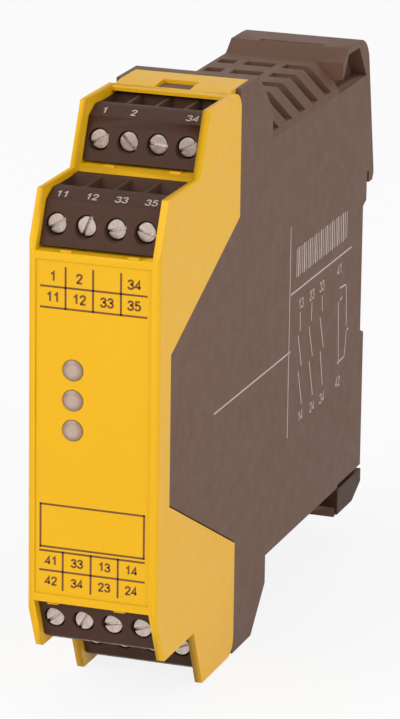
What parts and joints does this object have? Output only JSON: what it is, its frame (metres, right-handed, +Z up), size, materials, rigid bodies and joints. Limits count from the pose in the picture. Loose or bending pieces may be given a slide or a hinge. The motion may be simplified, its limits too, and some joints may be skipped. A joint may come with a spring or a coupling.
{
  "type": "safety relay",
  "caption": "Narrow rail-mounted safety relay module with a stepped front, plug-in screw terminals at top and bottom, status lenses and a sprung rail foot.",
  "frame": {"origin": "middle of the 35 mm rail, on the plane where the module's back rests on the rail's face", "axes": "+X to the right as seen from the front, +Y back through the rail, +Z up; the labelled front faces -Y"},
  "size_m": [0.0226, 0.1146, 0.099],
  "materials": {
    "housing_plastic": "fine matte moulded, warm black",
    "cover_plastic": "satin moulded, signal yellow",
    "terminal_plastic": "matte moulded, black",
    "header_plastic": "matte moulded, black",
    "foot_plastic": "matte moulded, black",
    "board_laminate": "green solder mask",
    "relay_case": "smooth moulded, light grey",
    "core_steel": "laminated edge",
    "winding_copper": "enamelled wire",
    "capacitor_can": "shrink sleeve",
    "chip_epoxy": "matte",
    "led_body": "clear white",
    "lens_clear": "diffuse clear",
    "contact_metal": "tinned",
    "screw_steel": "plated, slightly warm",
    "clamp_steel": "plated"
  },
  "bodies": {
    "module": {"housing": "housing_plastic", "front_cover": "cover_plastic", "circuit_board": "board_laminate", "relay_upper": "relay_case", "relay_lower": "relay_case", "transformer_core": "core_steel", "transformer_winding": "winding_copper", "smoothing_capacitor": "capacitor_can", "logic_chips": "chip_epoxy", "indicator_leds": "led_body", "lens_top": "lens_clear", "lens_middle": "lens_clear", "lens_bottom": "lens_clear", "header_pins": "contact_metal", "header_upper_front": "header_plastic", "header_upper_rear": "header_plastic", "header_lower_front": "header_plastic", "header_lower_rear": "header_plastic"},
    "rail_foot": {"rail_foot": "foot_plastic"},
    "plug_upper_front": {"plug_upper_front": "terminal_plastic", "contacts_upper_front": "contact_metal"},
    "screw_upper_front_1": {"screw_upper_front_1": "screw_steel"},
    "clamp_upper_front_1": {"clamp_upper_front_1": "clamp_steel"},
    "screw_upper_front_2": {"screw_upper_front_2": "screw_steel"},
    "clamp_upper_front_2": {"clamp_upper_front_2": "clamp_steel"},
    "screw_upper_front_3": {"screw_upper_front_3": "screw_steel"},
    "clamp_upper_front_3": {"clamp_upper_front_3": "clamp_steel"},
    "screw_upper_front_4": {"screw_upper_front_4": "screw_steel"},
    "clamp_upper_front_4": {"clamp_upper_front_4": "clamp_steel"},
    "plug_upper_rear": {"plug_upper_rear": "terminal_plastic", "contacts_upper_rear": "contact_metal"},
    "screw_upper_rear_1": {"screw_upper_rear_1": "screw_steel"},
    "clamp_upper_rear_1": {"clamp_upper_rear_1": "clamp_steel"},
    "screw_upper_rear_2": {"screw_upper_rear_2": "screw_steel"},
    "clamp_upper_rear_2": {"clamp_upper_rear_2": "clamp_steel"},
    "screw_upper_rear_3": {"screw_upper_rear_3": "screw_steel"},
    "clamp_upper_rear_3": {"clamp_upper_rear_3": "clamp_steel"},
    "screw_upper_rear_4": {"screw_upper_rear_4": "screw_steel"},
    "clamp_upper_rear_4": {"clamp_upper_rear_4": "clamp_steel"},
    "plug_lower_front": {"plug_lower_front": "terminal_plastic", "contacts_lower_front": "contact_metal"},
    "screw_lower_front_1": {"screw_lower_front_1": "screw_steel"},
    "clamp_lower_front_1": {"clamp_lower_front_1": "clamp_steel"},
    "screw_lower_front_2": {"screw_lower_front_2": "screw_steel"},
    "clamp_lower_front_2": {"clamp_lower_front_2": "clamp_steel"},
    "screw_lower_front_3": {"screw_lower_front_3": "screw_steel"},
    "clamp_lower_front_3": {"clamp_lower_front_3": "clamp_steel"},
    "screw_lower_front_4": {"screw_lower_front_4": "screw_steel"},
    "clamp_lower_front_4": {"clamp_lower_front_4": "clamp_steel"},
    "plug_lower_rear": {"plug_lower_rear": "terminal_plastic", "contacts_lower_rear": "contact_metal"},
    "screw_lower_rear_1": {"screw_lower_rear_1": "screw_steel"},
    "clamp_lower_rear_1": {"clamp_lower_rear_1": "clamp_steel"},
    "screw_lower_rear_2": {"screw_lower_rear_2": "screw_steel"},
    "clamp_lower_rear_2": {"clamp_lower_rear_2": "clamp_steel"},
    "screw_lower_rear_3": {"screw_lower_rear_3": "screw_steel"},
    "clamp_lower_rear_3": {"clamp_lower_rear_3": "clamp_steel"},
    "screw_lower_rear_4": {"screw_lower_rear_4": "screw_steel"},
    "clamp_lower_rear_4": {"clamp_lower_rear_4": "clamp_steel"}
  },
  "joints": [
    {"name": "rail_foot_slide", "type": "slide", "parent": "module", "child": "rail_foot", "axis": [0, 0, -1], "range_m": [0, 0.003], "stiffness_N_per_m": 2500, "springref_m": -0.001},
    {"name": "plug_upper_front_slide", "type": "slide", "parent": "module", "child": "plug_upper_front", "axis": [0, -1, 0], "range_m": [0, 0.009]},
    {"name": "screw_upper_front_1_turn", "type": "hinge", "parent": "plug_upper_front", "child": "screw_upper_front_1", "pos_m": [-0.00762, -0.1067, 0.0333], "axis": [0, -1, 0], "range_deg": [0, 1800]},
    {"name": "clamp_upper_front_1_slide", "type": "slide", "parent": "plug_upper_front", "child": "clamp_upper_front_1", "axis": [0, 1, 0], "range_m": [0, 0.00225]},
    {"name": "screw_upper_front_2_turn", "type": "hinge", "parent": "plug_upper_front", "child": "screw_upper_front_2", "pos_m": [-0.00254, -0.1067, 0.0333], "axis": [0, -1, 0], "range_deg": [0, 1800]},
    {"name": "clamp_upper_front_2_slide", "type": "slide", "parent": "plug_upper_front", "child": "clamp_upper_front_2", "axis": [0, 1, 0], "range_m": [0, 0.00225]},
    {"name": "screw_upper_front_3_turn", "type": "hinge", "parent": "plug_upper_front", "child": "screw_upper_front_3", "pos_m": [0.00254, -0.1067, 0.0333], "axis": [0, -1, 0], "range_deg": [0, 1800]},
    {"name": "clamp_upper_front_3_slide", "type": "slide", "parent": "plug_upper_front", "child": "clamp_upper_front_3", "axis": [0, 1, 0], "range_m": [0, 0.00225]},
    {"name": "screw_upper_front_4_turn", "type": "hinge", "parent": "plug_upper_front", "child": "screw_upper_front_4", "pos_m": [0.00762, -0.1067, 0.0333], "axis": [0, -1, 0], "range_deg": [0, 1800]},
    {"name": "clamp_upper_front_4_slide", "type": "slide", "parent": "plug_upper_front", "child": "clamp_upper_front_4", "axis": [0, 1, 0], "range_m": [0, 0.00225]},
    {"name": "plug_upper_rear_slide", "type": "slide", "parent": "module", "child": "plug_upper_rear", "axis": [0, -1, 0], "range_m": [0, 0.009]},
    {"name": "screw_upper_rear_1_turn", "type": "hinge", "parent": "plug_upper_rear", "child": "screw_upper_rear_1", "pos_m": [-0.00762, -0.0877, 0.0429], "axis": [0, -1, 0], "range_deg": [0, 1800]},
    {"name": "clamp_upper_rear_1_slide", "type": "slide", "parent": "plug_upper_rear", "child": "clamp_upper_rear_1", "axis": [0, 1, 0], "range_m": [0, 0.00225]},
    {"name": "screw_upper_rear_2_turn", "type": "hinge", "parent": "plug_upper_rear", "child": "screw_upper_rear_2", "pos_m": [-0.00254, -0.0877, 0.0429], "axis": [0, -1, 0], "range_deg": [0, 1800]},
    {"name": "clamp_upper_rear_2_slide", "type": "slide", "parent": "plug_upper_rear", "child": "clamp_upper_rear_2", "axis": [0, 1, 0], "range_m": [0, 0.00225]},
    {"name": "screw_upper_rear_3_turn", "type": "hinge", "parent": "plug_upper_rear", "child": "screw_upper_rear_3", "pos_m": [0.00254, -0.0877, 0.0429], "axis": [0, -1, 0], "range_deg": [0, 1800]},
    {"name": "clamp_upper_rear_3_slide", "type": "slide", "parent": "plug_upper_rear", "child": "clamp_upper_rear_3", "axis": [0, 1, 0], "range_m": [0, 0.00225]},
    {"name": "screw_upper_rear_4_turn", "type": "hinge", "parent": "plug_upper_rear", "child": "screw_upper_rear_4", "pos_m": [0.00762, -0.0877, 0.0429], "axis": [0, -1, 0], "range_deg": [0, 1800]},
    {"name": "clamp_upper_rear_4_slide", "type": "slide", "parent": "plug_upper_rear", "child": "clamp_upper_rear_4", "axis": [0, 1, 0], "range_m": [0, 0.00225]},
    {"name": "plug_lower_front_slide", "type": "slide", "parent": "module", "child": "plug_lower_front", "axis": [0, -1, 0], "range_m": [0, 0.009]},
    {"name": "screw_lower_front_1_turn", "type": "hinge", "parent": "plug_lower_front", "child": "screw_lower_front_1", "pos_m": [-0.00762, -0.1067, -0.0333], "axis": [0, -1, 0], "range_deg": [0, 1800]},
    {"name": "clamp_lower_front_1_slide", "type": "slide", "parent": "plug_lower_front", "child": "clamp_lower_front_1", "axis": [0, 1, 0], "range_m": [0, 0.00225]},
    {"name": "screw_lower_front_2_turn", "type": "hinge", "parent": "plug_lower_front", "child": "screw_lower_front_2", "pos_m": [-0.00254, -0.1067, -0.0333], "axis": [0, -1, 0], "range_deg": [0, 1800]},
    {"name": "clamp_lower_front_2_slide", "type": "slide", "parent": "plug_lower_front", "child": "clamp_lower_front_2", "axis": [0, 1, 0], "range_m": [0, 0.00225]},
    {"name": "screw_lower_front_3_turn", "type": "hinge", "parent": "plug_lower_front", "child": "screw_lower_front_3", "pos_m": [0.00254, -0.1067, -0.0333], "axis": [0, -1, 0], "range_deg": [0, 1800]},
    {"name": "clamp_lower_front_3_slide", "type": "slide", "parent": "plug_lower_front", "child": "clamp_lower_front_3", "axis": [0, 1, 0], "range_m": [0, 0.00225]},
    {"name": "screw_lower_front_4_turn", "type": "hinge", "parent": "plug_lower_front", "child": "screw_lower_front_4", "pos_m": [0.00762, -0.1067, -0.0333], "axis": [0, -1, 0], "range_deg": [0, 1800]},
    {"name": "clamp_lower_front_4_slide", "type": "slide", "parent": "plug_lower_front", "child": "clamp_lower_front_4", "axis": [0, 1, 0], "range_m": [0, 0.00225]},
    {"name": "plug_lower_rear_slide", "type": "slide", "parent": "module", "child": "plug_lower_rear", "axis": [0, -1, 0], "range_m": [0, 0.009]},
    {"name": "screw_lower_rear_1_turn", "type": "hinge", "parent": "plug_lower_rear", "child": "screw_lower_rear_1", "pos_m": [-0.00762, -0.0877, -0.0429], "axis": [0, -1, 0], "range_deg": [0, 1800]},
    {"name": "clamp_lower_rear_1_slide", "type": "slide", "parent": "plug_lower_rear", "child": "clamp_lower_rear_1", "axis": [0, 1, 0], "range_m": [0, 0.00225]},
    {"name": "screw_lower_rear_2_turn", "type": "hinge", "parent": "plug_lower_rear", "child": "screw_lower_rear_2", "pos_m": [-0.00254, -0.0877, -0.0429], "axis": [0, -1, 0], "range_deg": [0, 1800]},
    {"name": "clamp_lower_rear_2_slide", "type": "slide", "parent": "plug_lower_rear", "child": "clamp_lower_rear_2", "axis": [0, 1, 0], "range_m": [0, 0.00225]},
    {"name": "screw_lower_rear_3_turn", "type": "hinge", "parent": "plug_lower_rear", "child": "screw_lower_rear_3", "pos_m": [0.00254, -0.0877, -0.0429], "axis": [0, -1, 0], "range_deg": [0, 1800]},
    {"name": "clamp_lower_rear_3_slide", "type": "slide", "parent": "plug_lower_rear", "child": "clamp_lower_rear_3", "axis": [0, 1, 0], "range_m": [0, 0.00225]},
    {"name": "screw_lower_rear_4_turn", "type": "hinge", "parent": "plug_lower_rear", "child": "screw_lower_rear_4", "pos_m": [0.00762, -0.0877, -0.0429], "axis": [0, -1, 0], "range_deg": [0, 1800]},
    {"name": "clamp_lower_rear_4_slide", "type": "slide", "parent": "plug_lower_rear", "child": "clamp_lower_rear_4", "axis": [0, 1, 0], "range_m": [0, 0.00225]}
  ],
  "couplings": [
    {"joint": "screw_upper_front_1_turn", "follows": "clamp_upper_front_1_slide", "rad_per_m": 13963},
    {"joint": "screw_upper_front_2_turn", "follows": "clamp_upper_front_2_slide", "rad_per_m": 13963},
    {"joint": "screw_upper_front_3_turn", "follows": "clamp_upper_front_3_slide", "rad_per_m": 13963},
    {"joint": "screw_upper_front_4_turn", "follows": "clamp_upper_front_4_slide", "rad_per_m": 13963},
    {"joint": "screw_upper_rear_1_turn", "follows": "clamp_upper_rear_1_slide", "rad_per_m": 13963},
    {"joint": "screw_upper_rear_2_turn", "follows": "clamp_upper_rear_2_slide", "rad_per_m": 13963},
    {"joint": "screw_upper_rear_3_turn", "follows": "clamp_upper_rear_3_slide", "rad_per_m": 13963},
    {"joint": "screw_upper_rear_4_turn", "follows": "clamp_upper_rear_4_slide", "rad_per_m": 13963},
    {"joint": "screw_lower_front_1_turn", "follows": "clamp_lower_front_1_slide", "rad_per_m": 13963},
    {"joint": "screw_lower_front_2_turn", "follows": "clamp_lower_front_2_slide", "rad_per_m": 13963},
    {"joint": "screw_lower_front_3_turn", "follows": "clamp_lower_front_3_slide", "rad_per_m": 13963},
    {"joint": "screw_lower_front_4_turn", "follows": "clamp_lower_front_4_slide", "rad_per_m": 13963},
    {"joint": "screw_lower_rear_1_turn", "follows": "clamp_lower_rear_1_slide", "rad_per_m": 13963},
    {"joint": "screw_lower_rear_2_turn", "follows": "clamp_lower_rear_2_slide", "rad_per_m": 13963},
    {"joint": "screw_lower_rear_3_turn", "follows": "clamp_lower_rear_3_slide", "rad_per_m": 13963},
    {"joint": "screw_lower_rear_4_turn", "follows": "clamp_lower_rear_4_slide", "rad_per_m": 13963}
  ]
}
